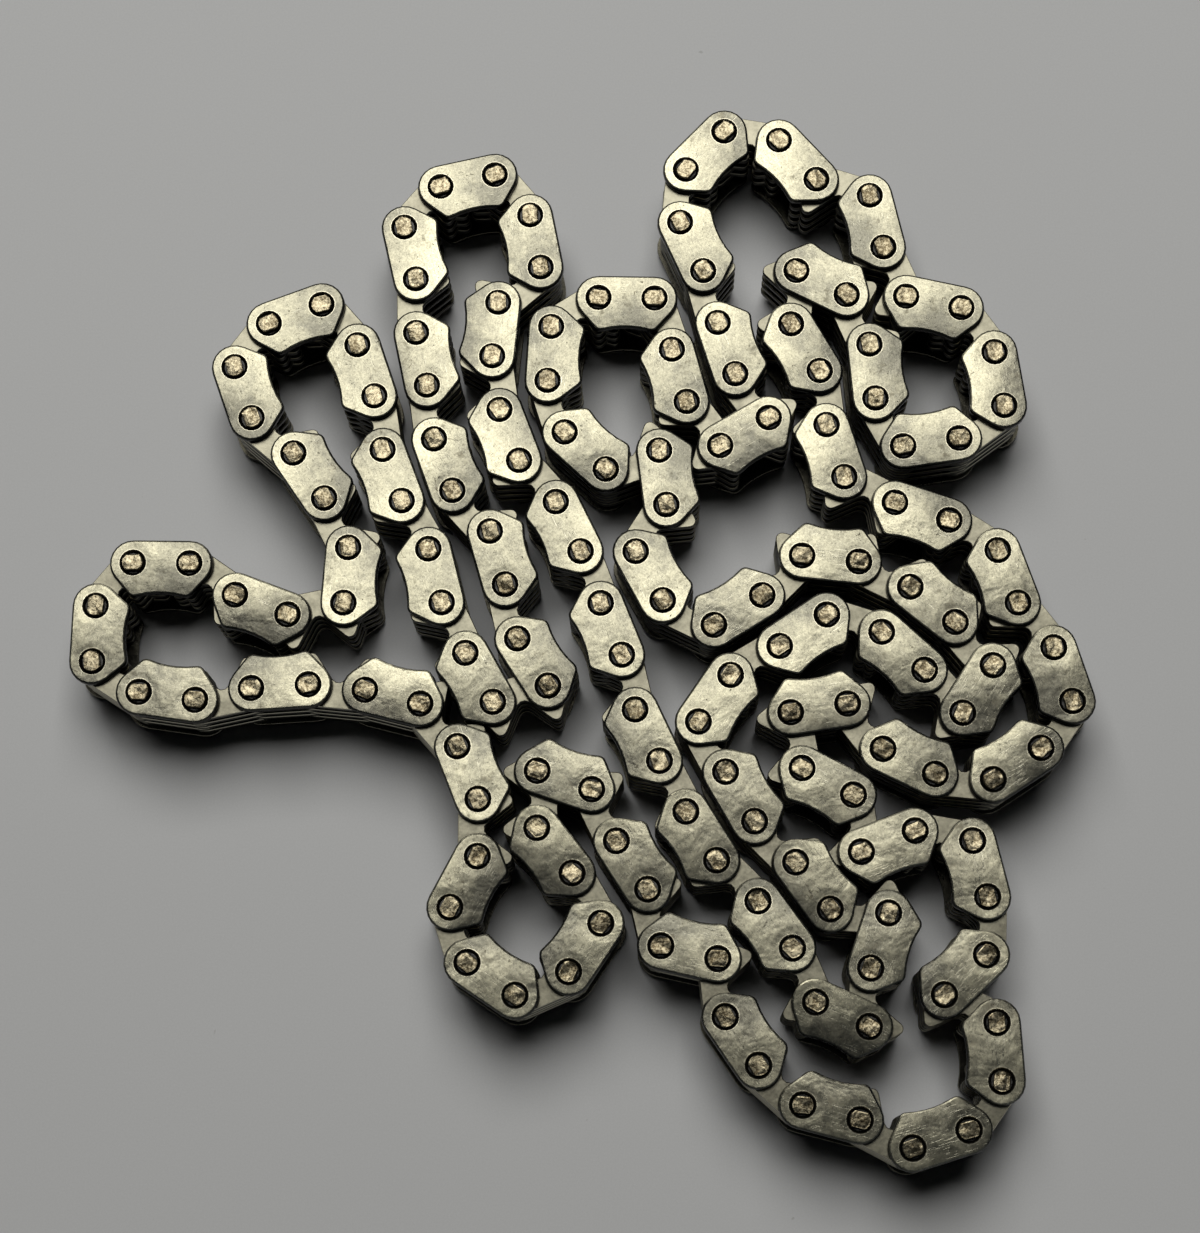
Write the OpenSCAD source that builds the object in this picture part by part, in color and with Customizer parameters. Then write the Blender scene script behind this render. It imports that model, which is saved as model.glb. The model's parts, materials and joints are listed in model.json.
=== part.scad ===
// Endless inverted-tooth (silent) timing chain, laid down loose in folds on a flat surface.
// Each guide link is two plain-sided guide plates with toothed plates between them on two
// pins. Each plain link is four toothed plates that join the pins of neighbouring guide links.
// The pins stand upright and the chain lies in the X Y plane.

/* [Chain] */
// Distance between neighbouring pins
pitch = 6.35; // [6.0:0.05:6.7]
// Sideways gap between neighbouring plates along the pins
plate_gap = 0.08; // [0.06:0.01:0.12]

/* [Plates] */
// Thickness of a guide plate
guide_t = 0.85; // [0.7:0.05:1.1]
// Thickness of a toothed plate
plate_t = 0.95; // [0.8:0.05:1.2]
// Toothed plates in one plain link
plain_plates = 4; // [3:1:5]

/* [Guide plate outline] */
// Radius of a guide plate's ends and back about its pins
guide_end_r = 2.62; // [2.3:0.01:2.66]
// Distance of its tooth-side corners from the middle of the plate
guide_corner_x = 3.70; // [3.4:0.05:3.75]
// Depth of its tooth side below the pin line
guide_corner_y = 3.80; // [3.4:0.05:3.85]
// Radius of its tooth-side corners
guide_corner_r = 0.60; // [0.4:0.05:0.8]
// Height of the shallow arch in its tooth side
guide_arch = 0.40; // [0.2:0.05:0.6]

/* [Toothed plate outline] */
// Radius of a toothed plate's back about its pins
back_r = 2.25; // [2.0:0.01:2.29]
// Distance of each tooth tip from the middle of the plate
toe_x = 3.25; // [3.0:0.05:3.3]
// Depth of the tooth tips' centres below the pin line
toe_y = 3.10; // [2.8:0.05:3.15]
// Radius of the tooth tips
toe_r = 0.75; // [0.6:0.05:0.8]
// Depth of the crotch circle's centre below the pin line
crotch_y = 1.55; // [1.4:0.05:1.7]
// Radius of the crotch between the teeth
crotch_r = 0.85; // [0.6:0.05:0.95]

/* [Pins] */
// Radius of a pin
pin_r = 1.15; // [1.0:0.01:1.25]
// Radial clearance of a plain link's plates on a pin
running_clear = 0.08; // [0.05:0.01:0.1]
// Radial clearance of a guide link's toothed plates on a pin
slip_clear = 0.03; // [0.02:0.01:0.05]
// Height that a pin's staked end stands above the guide plate
pin_proud = 0.40; // [0.2:0.05:0.6]
// Radius of a pin's staked end
head_r = 1.08; // [0.9:0.01:1.1]
// Width across the two flats of a staked end
head_flats = 1.66; // [1.4:0.02:1.9]
// Bevel round the top of a staked end
head_bevel = 0.15; // [0.05:0.01:0.2]
// Radius of the countersink about a pin in a guide plate
sink_r = 1.42; // [1.3:0.01:1.5]
// Depth of that countersink
sink_d = 0.30; // [0.15:0.05:0.4]

/* [Hidden] */
$fn = 48;

// Headings of each guide link and of the plain link after it, in whole degrees, read along
// the chain with the teeth always to the right.
HEADINGS = [
    [0, -34], [-20, 12], [87, 117], [125, 140], [110, 54], [19, -49], [-73, -82], [-71, -63],
    [-74, -63], [-59, 17], [122, 103], [106, 131], [110, 98], [102, 91], [103, 49], [13, -51],
    [-80, -140], [-97, -82], [-69, -50], [-64, -69], [-68, -76], [-65, -63], [-58, -45],
    [-54, -67], [-25, 87], [71, 177], [126, 135], [120, 118], [54, 30], [33, -17], [-43, -50],
    [58, 130], [141, 153], [174, -135], [-148, 154], [119, 58], [98, -160], [138, 108],
    [87, 32], [-2, -72], [-74, -54], [32, 126], [107, 104], [114, 84], [46, -10], [-48, -18],
    [-78, -67], [-10, -55], [-80, -143], [-172, 117], [94, 113], [152, -96], [-60, -83],
    [-72, -29], [-20, -34], [-69, -53], [-71, -127], [-145, 174], [152, 127], [-171, -76],
    [-25, -83], [19, -9], [-75, -91], [-136, -28], [-85, -124], [-162, 152], [165, 137],
    [123, 97], [166, 104], [123, 116], [161, -90], [-52, -60], [-123, -156], [145, 107],
    [62, 90], [115, 131], [166, 174], [-177, -168], [171, 146], [88, 51]
];

// Places that the chain passes through: a guide link's number, and the X and Y of its first
// pin in pitches. The links between two places bend a little so that they reach.
PLACES = [
    [3, -4.17, 0.40], [6, -5.60, 5.52], [9, -2.69, 1.37], [11, -0.57, -1.09],
    [13, -2.28, 2.43], [16, -2.56, 8.08], [19, -1.46, 3.91], [23, 1.83, -3.31],
    [26, 4.98, -6.02], [29, 2.05, -1.73], [31, 5.25, -0.14], [34, 4.87, 1.12],
    [38, 0.43, 2.81], [41, 1.60, 5.01], [44, 2.16, 6.47], [47, 5.15, 7.87],
    [49, 7.32, 4.94], [53, 3.72, 5.47], [56, 7.30, 1.32], [58, 7.97, -2.20],
    [61, 3.84, -2.55], [63, 6.76, -3.82], [69, 2.37, -5.86], [71, 0.20, -2.92],
    [74, -1.10, -6.49], [76, -1.77, -3.09], [78, -4.76, -1.06]
];

// Folds that swing as parallelograms: a name, and the two plain links that are its equal and
// parallel bars. A plain link has the number of the guide link before it. What lies between
// the bars keeps its heading while the bars swing. A fold inside another comes after it.
FOLDS = [
    ["left_run", 76, 6], ["left_loop", 78, 2], ["upper_fold", 13, 18],
    ["middle_fold", 38, 40], ["inner_link", 41, 42], ["top_loop", 44, 52],
    ["top_right_fold", 47, 51], ["right_bend", 56, 59], ["lower_right_loop", 61, 68],
    ["lower_tip", 64, 66], ["lower_left_loop", 71, 75]
];

// Links are numbered from 0 along the chain: guide link g is 2g-2 and its plain link 2g-1.
LINKS = 2 * len(HEADINGS);
read_heading = [for (pair = HEADINGS) for (a = pair) a];
bars = [for (f = FOLDS) for (g = [f[1], f[2]]) 2 * g - 1];
function is_bar(k) = len([for (b = bars) if (b == k) b]) > 0;
function along(a) = [cos(a), sin(a)];
function across(a) = [-sin(a), cos(a)];
function total(v) = [for (x = v) 1] * v;
function steps(from, to) = (to - from + LINKS) % LINKS;

// Turns the free links of a stretch by the least angles with which it spans its two places.
function settled(h, free, span, rounds) = rounds == 0 ? h :
    let (
        lever = [for (i = [0 : len(h) - 1]) free[i] * across(h[i])],
        miss = span - total([for (a = h) along(a)]),
        xx = total([for (v = lever) v[0] * v[0]]),
        xy = total([for (v = lever) v[0] * v[1]]),
        yy = total([for (v = lever) v[1] * v[1]]),
        push = [yy * miss[0] - xy * miss[1], xx * miss[1] - xy * miss[0]] / (xx * yy - xy * xy)
    )
    settled([for (i = [0 : len(h) - 1]) h[i] + (lever[i] * push) * 180 / PI], free, span,
            rounds - 1);

// The pins of one stretch, in pitches, from its first place up to the next one.
function stretch(i) =
    let (
        from = PLACES[i],
        to = PLACES[(i + 1) % len(PLACES)],
        first = 2 * from[0] - 2,
        count = steps(first, 2 * to[0] - 2),
        ids = [for (n = [0 : count - 1]) (first + n) % LINKS],
        h = settled([for (k = ids) read_heading[k]], [for (k = ids) is_bar(k) ? 0 : 1],
                    [to[1] - from[1], to[2] - from[2]], 6),
        units = [for (a = h) along(a)]
    )
    [for (n = [0 : count - 1])
        [from[1], from[2]] + (n == 0 ? [0, 0] : total([for (m = [0 : n - 1]) units[m]]))];

walked = [for (i = [0 : len(PLACES) - 1]) for (p = stretch(i)) p * pitch];
first_walked = 2 * PLACES[0][0] - 2;
function raw_pin(k) = walked[steps(first_walked, k % LINKS)];

// Circles at the corners of the two outlines: X, Y and radius, with the middle between the
// pins as the origin and the teeth towards -Y.
half = pitch / 2;
guide_rounds = [
    [-half, 0, guide_end_r], [-guide_corner_x + guide_corner_r, -guide_corner_y + guide_corner_r,
    guide_corner_r], [guide_corner_x - guide_corner_r, -guide_corner_y + guide_corner_r,
    guide_corner_r], [half, 0, guide_end_r]
];
tooth_rounds = [[-half, 0, back_r], [-toe_x, -toe_y, toe_r], [toe_x, -toe_y, toe_r],
                [half, 0, back_r]];

// The model's origin is the middle of the laid chain.
function heading_of(a, b) = atan2(b[1] - a[1], b[0] - a[0]);
function placed(c, k) =
    let (a = raw_pin(k), b = raw_pin(k + 1), h = heading_of(a, b))
    (a + b) / 2 + c[0] * along(h) + c[1] * across(h);
reach = [for (k = [0 : LINKS - 1]) for (c = k % 2 == 0 ? guide_rounds : tooth_rounds)
    let (p = placed(c, k)) [p[0] - c[2], p[1] - c[2], p[0] + c[2], p[1] + c[2]]];
middle = [for (i = [0, 1])
    (min([for (r = reach) r[i]]) + max([for (r = reach) r[i + 2]])) / 2];
pin_at = [for (k = [0 : LINKS - 1]) raw_pin(k) - middle];
function link_angle(k) = heading_of(pin_at[k], pin_at[(k + 1) % LINKS]);
function link_middle(k) = (pin_at[k] + pin_at[(k + 1) % LINKS]) / 2;

// Levels along the pins.
plate_step = plate_t + plate_gap;
guide_z = pin_proud;
first_plate_z = guide_z + guide_t + plate_gap;
top_guide_z = first_plate_z + (2 * plain_plates - 1) * plate_step;
stack_top = top_guide_z + guide_t;

// Which body a link belongs to: the innermost fold between whose bars it lies, or the base.
function inside(k, f) = steps(2 * f[1] - 1, k) > 0
    && steps(2 * f[1] - 1, k) < steps(2 * f[1] - 1, 2 * f[2] - 1);
function owners(k) = [for (f = FOLDS) if (inside(k, f)) f[0]];
function owner(k) = len(owners(k)) == 0 ? "base" : owners(k)[len(owners(k)) - 1];
function guide_links(body) = [for (k = [0 : 2 : LINKS - 1]) if (owner(k) == body) k];
function plain_links(body) = [for (k = [1 : 2 : LINKS - 1])
    if (owner(k) == body && !is_bar(k)) k];

GROUPS = concat(["base"], [for (f = FOLDS) f[0]]);

// Straight flanks start this far inside the arcs that they touch, so that they cross cleanly.
tuck = 0.002;
overcut = 0.05;

// Two ends of the outer tangent from circle a to circle b, with the shape on its left.
function outer_tangent(a, b) =
    let (
        d = [b[0] - a[0], b[1] - a[1]],
        turn = atan2(d[1], d[0]) - acos((a[2] - b[2]) / norm(d))
    )
    [[a[0], a[1]] + (a[2] - tuck) * along(turn), [b[0], b[1]] + (b[2] - tuck) * along(turn)];

// A convex outline with circles at its corners, listed anticlockwise.
module rounded(rounds) {
    n = len(rounds);
    polygon([for (i = [0 : n - 1]) each outer_tangent(rounds[i], rounds[(i + 1) % n])]);
    for (c = rounds) {
        translate([c[0], c[1]]) circle(r = c[2]);
    }
}

module bores(r) {
    for (x = [-half, half]) {
        translate([x, 0]) circle(r = r);
    }
}

module guide_outline() {
    chord = guide_corner_x - guide_corner_r / 2;
    arch_r = (chord * chord + guide_arch * guide_arch) / (2 * guide_arch);
    difference() {
        rounded(guide_rounds);
        translate([0, -guide_corner_y - arch_r + guide_arch]) circle(r = arch_r, $fn = 360);
        bores(pin_r);
    }
}

// One tooth with its outer flank, and its inner flank down to the crotch. s is 1 or -1.
module tooth(s) {
    reach_in = [-toe_x, crotch_y - toe_y];
    tip = [toe_x, -toe_y];
    crossing = atan2(-toe_y + crotch_y, toe_x) + acos((crotch_r + toe_r) / norm(reach_in));
    at_crotch = [0, -crotch_y] + (crotch_r - tuck) * along(crossing);
    at_toe = tip - (toe_r - tuck) * along(crossing);
    flank = outer_tangent([toe_x, -toe_y, toe_r], [half, 0, back_r]);
    scale([s, 1]) {
        polygon([[0, 0], [0, -crotch_y + crotch_r / 2], at_crotch, at_toe, tip, flank[0], flank[1],
                 [half, 0]]);
        translate(tip) circle(r = toe_r);
    }
}

module toothed_outline(clear) {
    difference() {
        union() {
            translate([-half, 0]) square([pitch, back_r]);
            for (x = [-half, half]) {
                translate([x, 0]) circle(r = back_r);
            }
            tooth(1);
            tooth(-1);
        }
        translate([0, -crotch_y]) circle(r = crotch_r);
        bores(pin_r + clear);
    }
}

// Puts its children between the two pins of link k.
module on_link(k) {
    translate(concat(link_middle(k), 0)) rotate(link_angle(k)) children();
}

// A guide plate with its countersinks on top.
module guide_plate() {
    slope = (sink_r - pin_r) / sink_d;
    difference() {
        linear_extrude(guide_t) guide_outline();
        for (x = [-half, half]) {
            translate([x, 0, guide_t - sink_d - overcut])
                cylinder(h = sink_d + 2 * overcut, r1 = pin_r - slope * overcut,
                         r2 = sink_r + slope * overcut);
        }
    }
}

// One outer plate above and one below, with their countersinks outwards.
module guide_plates(body) {
    color("tan") for (k = guide_links(body)) {
        on_link(k) {
            translate([0, 0, top_guide_z]) guide_plate();
            translate([0, 0, guide_z + guide_t]) mirror([0, 0, 1]) guide_plate();
        }
    }
}

// The toothed plates that a guide link holds between those of its plain links.
module middle_plates(body) {
    color("darkgray") for (k = guide_links(body), i = [1 : plain_plates - 1]) {
        on_link(k) translate([0, 0, first_plate_z + (2 * i - 1) * plate_step])
            linear_extrude(plate_t) toothed_outline(slip_clear);
    }
}

// One plain link's plates, or those of them that are named by their places in it.
module plain_link(k, places = [0 : plain_plates - 1]) {
    for (i = places) {
        on_link(k) translate([0, 0, first_plate_z + 2 * i * plate_step])
            linear_extrude(plate_t) toothed_outline(running_clear);
    }
}

module plain_link_plates(body, places = [0 : plain_plates - 1]) {
    color("gray") for (k = plain_links(body)) {
        plain_link(k, places);
    }
}

module toothed_plates(body) {
    middle_plates(body);
    plain_link_plates(body);
}

module bar(g) {
    color("silver") plain_link(2 * g - 1);
}

// A staked end from the floor of its countersink up, with two flats that follow the pin line.
module staked_end() {
    end_h = sink_d + pin_proud;
    intersection() {
        rotate_extrude() polygon([[0, 0], [head_r, 0], [head_r, end_h - head_bevel],
                                  [head_r - head_bevel, end_h], [0, end_h]]);
        linear_extrude(end_h) square([2 * pin_r, head_flats], center = true);
    }
}

module pin() {
    color("peru") {
        translate([0, 0, pin_proud + sink_d])
            cylinder(h = stack_top - pin_proud - 2 * sink_d, r = pin_r);
        translate([0, 0, stack_top - sink_d]) staked_end();
        translate([0, 0, pin_proud + sink_d]) mirror([0, 0, 1]) staked_end();
    }
}

module pins(body) {
    for (k = guide_links(body), x = [-half, half]) {
        on_link(k) translate([x, 0, 0]) pin();
    }
}

guide_plates("base");  // base_guide_plates
middle_plates("base");  // base_middle_plates
plain_link_plates("base", [0, plain_plates - 1]);  // base_outer_link_plates
plain_link_plates("base", [1 : plain_plates - 2]);  // base_inner_link_plates
pins("base");  // base_pins
for (f = FOLDS) {
    bar(f[1]);
    bar(f[2]);
    guide_plates(f[0]);
    toothed_plates(f[0]);
    pins(f[0]);
}
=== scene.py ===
"""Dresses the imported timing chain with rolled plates, staked pins, steel finishes and a studio."""

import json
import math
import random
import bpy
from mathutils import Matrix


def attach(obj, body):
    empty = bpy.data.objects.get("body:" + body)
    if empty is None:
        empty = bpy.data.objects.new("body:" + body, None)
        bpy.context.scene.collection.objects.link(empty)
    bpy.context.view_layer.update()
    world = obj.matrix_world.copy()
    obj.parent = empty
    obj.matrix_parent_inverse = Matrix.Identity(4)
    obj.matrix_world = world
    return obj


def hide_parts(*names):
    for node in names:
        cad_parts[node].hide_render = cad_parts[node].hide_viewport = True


bl_info = {
    "name": "Folded timing chain",
    "version": (1, 0, 0),
    "blender": (4, 5, 0),
    "location": "View3D > Sidebar > Timing chain",
    "description": "Makes the plates, pins and finishes of an inverted-tooth timing chain",
    "category": "Mesh",
}

import bmesh
import bpy
from bpy.props import FloatProperty, FloatVectorProperty, PointerProperty
from mathutils import Matrix, Vector, noise

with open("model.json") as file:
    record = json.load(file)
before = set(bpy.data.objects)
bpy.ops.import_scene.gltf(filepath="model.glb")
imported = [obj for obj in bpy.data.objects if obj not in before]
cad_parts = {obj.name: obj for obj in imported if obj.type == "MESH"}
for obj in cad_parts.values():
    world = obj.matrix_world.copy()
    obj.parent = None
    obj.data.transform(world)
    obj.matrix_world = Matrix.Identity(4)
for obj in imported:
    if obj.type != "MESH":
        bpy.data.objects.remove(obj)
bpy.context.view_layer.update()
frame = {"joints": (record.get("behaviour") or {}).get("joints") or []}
MM = 0.001
JOINT_PLACES = {j["name"]: Vector(j["pos_m"]) / MM for j in frame["joints"]}

# The lay of the chain, as in the part's source. Guide links are counted from 1, and a plain link
# follows each of them.
#
# Headings, in degrees, of each guide link and of the plain link after it.
HEADINGS = [
    (0, -34), (-20, 12), (87, 117), (125, 140), (110, 54), (19, -49), (-73, -82), (-71, -63),
    (-74, -63), (-59, 17), (122, 103), (106, 131), (110, 98), (102, 91), (103, 49), (13, -51),
    (-80, -140), (-97, -82), (-69, -50), (-64, -69), (-68, -76), (-65, -63), (-58, -45),
    (-54, -67), (-25, 87), (71, 177), (126, 135), (120, 118), (54, 30), (33, -17), (-43, -50),
    (58, 130), (141, 153), (174, -135), (-148, 154), (119, 58), (98, -160), (138, 108),
    (87, 32), (-2, -72), (-74, -54), (32, 126), (107, 104), (114, 84), (46, -10), (-48, -18),
    (-78, -67), (-10, -55), (-80, -143), (-172, 117), (94, 113), (152, -96), (-60, -83),
    (-72, -29), (-20, -34), (-69, -53), (-71, -127), (-145, 174), (152, 127), (-171, -76),
    (-25, -83), (19, -9), (-75, -91), (-136, -28), (-85, -124), (-162, 152), (165, 137),
    (123, 97), (166, 104), (123, 116), (161, -90), (-52, -60), (-123, -156), (145, 107),
    (62, 90), (115, 131), (166, 174), (-177, -168), (171, 146), (88, 51),
]

# Guide links whose place is known, each with the place of its first pin, in pitches.
PLACES = [
    (3, -4.17, 0.40), (6, -5.60, 5.52), (9, -2.69, 1.37), (11, -0.57, -1.09),
    (13, -2.28, 2.43), (16, -2.56, 8.08), (19, -1.46, 3.91), (23, 1.83, -3.31),
    (26, 4.98, -6.02), (29, 2.05, -1.73), (31, 5.25, -0.14), (34, 4.87, 1.12),
    (38, 0.43, 2.81), (41, 1.60, 5.01), (44, 2.16, 6.47), (47, 5.15, 7.87),
    (49, 7.32, 4.94), (53, 3.72, 5.47), (56, 7.30, 1.32), (58, 7.97, -2.20),
    (61, 3.84, -2.55), (63, 6.76, -3.82), (69, 2.37, -5.86), (71, 0.20, -2.92),
    (74, -1.10, -6.49), (76, -1.77, -3.09), (78, -4.76, -1.06),
]

# Folds, each with its two bars, which are the plain links after these guide links. A fold that
# rides on another comes after it.
FOLDS = [
    ("left_run", 76, 6), ("left_loop", 78, 2), ("upper_fold", 13, 18), ("middle_fold", 38, 40),
    ("inner_link", 41, 42), ("top_loop", 44, 52), ("top_right_fold", 47, 51),
    ("right_bend", 56, 59), ("lower_right_loop", 61, 68), ("lower_tip", 64, 66),
    ("lower_left_loop", 71, 75),
]
LINKS = 2 * len(HEADINGS)
SETTLING_ROUNDS = 6

# Toothed layers in the stack: a guide link fills every second one, and a plain link the others.
LAYERS = 7

# Details of the shapes, in millimetres.
SAME_HEIGHT = 0.0001  # vertices this near to a height are at it
SAME_PLACE = 0.01  # outline vertices this near to each other become one
ON_PLANE = 0.00001  # vertices this near to a cutting plane are on it
HEM = 0.05  # chamfer of a guide plate's lower edge
MOUTH_W, MOUTH_D = 0.07, 0.05  # bevel round the mouth of a countersink
SINK_FOOT = 0.03  # gap round the pin at the bottom of a countersink
PRESS_GAP = 0.01  # gap round the pin in the rest of a guide plate's bore
STAKE_ROOT = 0.1  # depth to which a staked end reaches into its pin
STAKE_RING = 0.30  # width of the ring between a staked end's bevel and its poked middle
DENT_DEPTH, DENT_SCALE = 0.16, 0.8  # hammered top of a staked end
DENT_RANGE = 50  # side of the field of noise from which each hammered top takes its own spot

# Creases and level faces: a normal's height above which a face is level, and angles in radians.
LEVEL_NORMAL = 0.9
PLATE_CREASE, PIN_CREASE = math.radians(50), math.radians(38)
FLAT_ANGLE = 0.001

# Sides of the round shapes.
GUIDE_BORE_SIDES, TOOTHED_BORE_SIDES, PIN_SIDES, STAKE_SIDES = 18, 10, 18, 16

# What differs from pin to pin and from plate to plate.
PIN_KINDS = 5
PIN_TURN = 5  # degrees, as a standard deviation
GUIDE_SEED, TOOTHED_SEED, PIN_SEED = 4, 9, 2

# The camera, fitted to the photograph: pixels of its image, millimetres and degrees.
IMAGE_HEIGHT, FOCAL_LENGTH, SHIFT = 1233, 2800, 150
SENSOR = 36
CAMERA_PLACE = (8.986, -68.877, 312.92)
CAMERA_TURN = (9.8627, 1.2386, 0.1713)
CLIP_START, CLIP_END = 0.01, 20  # metres

# Lights: name, place and size in metres, watts, colour, and whether they light the floor too.
# The card and the sky add reflections but no diffuse light, so the floor's shadows stay deep.
LIGHTS = (
    ("window", (-0.05, 0.462, 0.812), (0.62, 0.70), 5.75, (1.0, 0.970, 0.895), True),
    ("card", (0.70, -1.20, 0.50), (1.50, 0.90), 0.85, (0.84, 0.92, 1.0), False),
)
SKY, SKY_STRENGTH = (0.80, 0.89, 1.0, 1.0), 0.05
FLOOR_REACH = 2.0  # metres from the middle of the floor to its edge
FLOOR_CELLS = 8  # along each of its sides


def length(name, value, description):
    """A size in millimetres."""
    return FloatProperty(name=name, default=value, min=0.001, precision=3, description=description)


def colour(name, value, description):
    """A colour that the user may change."""
    return FloatVectorProperty(
        name=name, default=value, size=3, min=0.0, max=1.0, subtype="COLOR", description=description
    )


class ChainSizes(bpy.types.PropertyGroup):
    """Sizes of the plates and pins, in millimetres.

    They are as in the part's source, but for the guide plates' corners and arch, the toes, the
    countersinks and the staked ends, which allow for their rolled and bevelled edges.
    """

    pitch: length(
        "Pitch",
        (JOINT_PLACES["left_run_level"] - JOINT_PLACES["left_run_swing"]).length,
        "Distance between neighbouring pins",
    )
    plate_gap: length("Plate gap", 0.08, "Gap between neighbouring plates")
    guide_t: length("Guide plate thickness", 0.85, "Thickness of a guide plate")
    plate_t: length("Toothed plate thickness", 0.95, "Thickness of a toothed plate")
    guide_end_r: length("Guide end radius", 2.62, "Radius of a guide plate about its pins")
    guide_corner_x: length("Guide corner", 3.78, "Half the width of its tooth side")
    guide_corner_y: length("Guide depth", 3.86, "Depth of its tooth side")
    guide_corner_r: length("Guide corner radius", 0.90, "Radius of its tooth-side corners")
    guide_arch: length("Guide arch", 0.38, "Height of the arch in its tooth side")
    back_r: length("Back radius", 2.25, "Radius of a toothed plate about its pins")
    toe_x: length("Toe spread", 3.20, "Distance of a tooth tip from the middle")
    toe_y: length("Toe depth", 3.07, "Depth of a tooth tip's centre")
    toe_r: length("Toe radius", 0.72, "Radius of a tooth tip")
    crotch_y: length("Crotch depth", 1.55, "Depth of the crotch's centre")
    crotch_r: length("Crotch radius", 0.85, "Radius of the crotch")
    pin_r: length("Pin radius", 1.15, "Radius of a pin")
    bore_clear: length("Bore clearance", 0.08, "Clearance of a toothed plate on its pins")
    pin_proud: length("Pin height", 0.40, "Height of a staked end above its plate")
    head_r: length("Staked radius", 1.16, "Radius of a staked end")
    head_flats: length("Staked flats", 1.82, "Width across the flats of a staked end")
    head_bevel: length("Staked bevel", 0.13, "Bevel of a staked end")
    sink_r: length("Countersink radius", 1.46, "Radius of a countersink")
    sink_d: length("Countersink depth", 0.30, "Depth of a countersink")
    guide_roll: length("Guide edge roll", 0.24, "Radius that blanking rolls on its upper edge")
    crown_w: length("Crown width", 0.40, "Width of the band in which its face falls to the edge")
    crown_d: length("Crown depth", 0.03, "Fall of its face across that band")
    plate_roll: length("Toothed edge roll", 0.09, "Radius on a toothed plate's edges")


class ChainLooks(bpy.types.PropertyGroup):
    """Colours of the steels and of the floor."""

    # The two guide steels are the ends of the plates' own tone and of a painted sheen across them.
    guide_light: colour("Guide steel, light", (0.375, 0.360, 0.272), "Clean satin steel")
    guide_dark: colour("Guide steel, dark", (0.120, 0.117, 0.096), "Handled and oiled steel")
    # Burnished steel, also a painted highlight on edges, countersink mouths, hems and corners.
    burnish_and_glint: colour("Burnished steel", (0.68, 0.645, 0.515), "Rubbed edges of the plates")
    speck: colour("Specks", (0.075, 0.060, 0.035), "Brown specks and stains on guide plates")
    scratch: colour("Scratches", (0.62, 0.60, 0.50), "Bright scratches on guide plates")
    hair: colour("Hairs", (0.050, 0.042, 0.028), "Fine dark lines on guide plates")
    toothed: colour("Toothed steel", (0.270, 0.259, 0.203), "Flat faces of toothed plates")
    pit: colour("Pits", (0.05, 0.042, 0.03), "Dark pits in toothed plates")
    # The walls' colours are darker than the faces for oil and as painted shade on the stack's sides.
    wall_light: colour("Wall, light", (0.150, 0.145, 0.125), "Rubbed walls of toothed plates")
    wall_dark: colour("Wall, dark", (0.050, 0.048, 0.042), "Oily walls of toothed plates")
    # Oil film, and painted shade on walls, in countersinks, between plates and on the pins.
    oil_and_shade: colour("Oil", (0.007, 0.0065, 0.0055), "Oil film between and beside the plates")
    pin_light: colour("Pin steel, light", (0.40, 0.355, 0.250), "Bright facets of a staked end")
    pin_dark: colour("Pin steel, dark", (0.095, 0.077, 0.047), "Brown body of a staked end")
    floor: colour("Floor", (0.68, 0.70, 0.74), "Pale grey floor")
    floor_speck: colour("Floor specks", (0.25, 0.25, 0.24), "Specks of dust on the floor")


def guide_link(g):
    """Number of guide link g among all links, which are counted from 0."""
    return 2 * g - 2


def bar_link(g):
    """Number of the plain link after guide link g among all links."""
    return 2 * g - 1


def is_guide(k):
    """Whether link k is a guide link."""
    return k % 2 == 0


BARS = {bar_link(g): f"{name}_bar_{side}" for name, *bars in FOLDS for side, g in zip("ab", bars)}


def unit(angle):
    """The unit vector at an angle; a link reaches this far from pin to pin, in pitches."""
    return Vector((math.cos(angle), math.sin(angle)))


def settled_headings(ids, headings, span):
    """Turns the free links of a stretch by the least angles with which it spans two places."""
    for _ in range(SETTLING_ROUNDS):
        levers = [
            Vector((-math.sin(a), math.cos(a))) * (k not in BARS) for k, a in zip(ids, headings)
        ]
        miss = span - sum((unit(a) for a in headings), Vector((0, 0)))
        xx = sum(v.x * v.x for v in levers)
        xy = sum(v.x * v.y for v in levers)
        yy = sum(v.y * v.y for v in levers)
        push = Vector((yy * miss.x - xy * miss.y, xx * miss.y - xy * miss.x)) / (xx * yy - xy * xy)
        headings = [a + v.dot(push) for a, v in zip(headings, levers)]
    return headings


def laid_pins(pitch):
    """Places of all pins, in millimetres in the model's frame. Link k starts at pin k."""
    read = [math.radians(a) for pair in HEADINGS for a in pair]
    pins = [None] * LINKS
    for (g, x, y), (next_g, next_x, next_y) in zip(PLACES, PLACES[1:] + PLACES[:1]):
        first = guide_link(g)
        ids = [(first + n) % LINKS for n in range((guide_link(next_g) - first) % LINKS)]
        span = Vector((next_x - x, next_y - y))
        at = Vector((x, y))
        for k, heading in zip(ids, settled_headings(ids, [read[k] for k in ids], span)):
            pins[k] = at * pitch
            at = at + unit(heading)
    # The first pin of the first fold's first bar is a joint whose place the frame gives.
    fold, bar, _ = FOLDS[0]
    shift = JOINT_PLACES[f"{fold}_swing"].to_2d() - pins[bar_link(bar)]
    return [p + shift for p in pins]


def owner(k):
    """Name of the body that carries link k."""
    if k in BARS:
        return BARS[k]
    name = "base"
    for fold, a, b in FOLDS:
        if 0 < (k - bar_link(a)) % LINKS < (bar_link(b) - bar_link(a)) % LINKS:
            name = fold
    return name


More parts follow.
